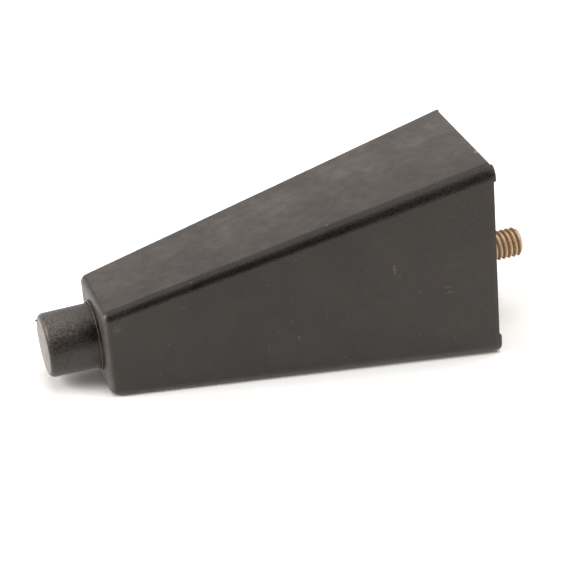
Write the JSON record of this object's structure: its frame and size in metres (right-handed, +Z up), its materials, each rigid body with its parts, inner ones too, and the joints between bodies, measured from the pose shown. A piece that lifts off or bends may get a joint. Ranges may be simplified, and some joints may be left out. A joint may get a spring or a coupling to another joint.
{
  "type": "appliance leg",
  "caption": "Tapered hollow plastic leg with a round adjustable foot at its narrow end and a threaded mounting stud at its wide end.",
  "frame": {"origin": "on the surface that the leg lies on, under the middle of its overall length", "axes": "+X along the leg towards the stud, +Z up from the back face that it lies on, y = 0 the plane of symmetry"},
  "size_m": [0.13, 0.042, 0.0538],
  "materials": {
    "leg_plastic": "black moulded plastic, fine matt grain, lightly rubbed and dusty",
    "foot_plastic": "black moulded plastic, coarser grain, worn pale on its sole",
    "passivated_steel": "yellow-passivated steel thread, gold on its crests and brown in its roots"
  },
  "bodies": {
    "leg": {"leg_body": "leg_plastic", "mounting_stud": "passivated_steel"},
    "foot": {"adjustable_foot": "foot_plastic"}
  },
  "joints": [
    {"name": "foot_height", "type": "slide", "parent": "leg", "child": "foot", "axis": [-0.9968, 0, -0.0797], "range_m": [-0.008, 0.012]}
  ]
}
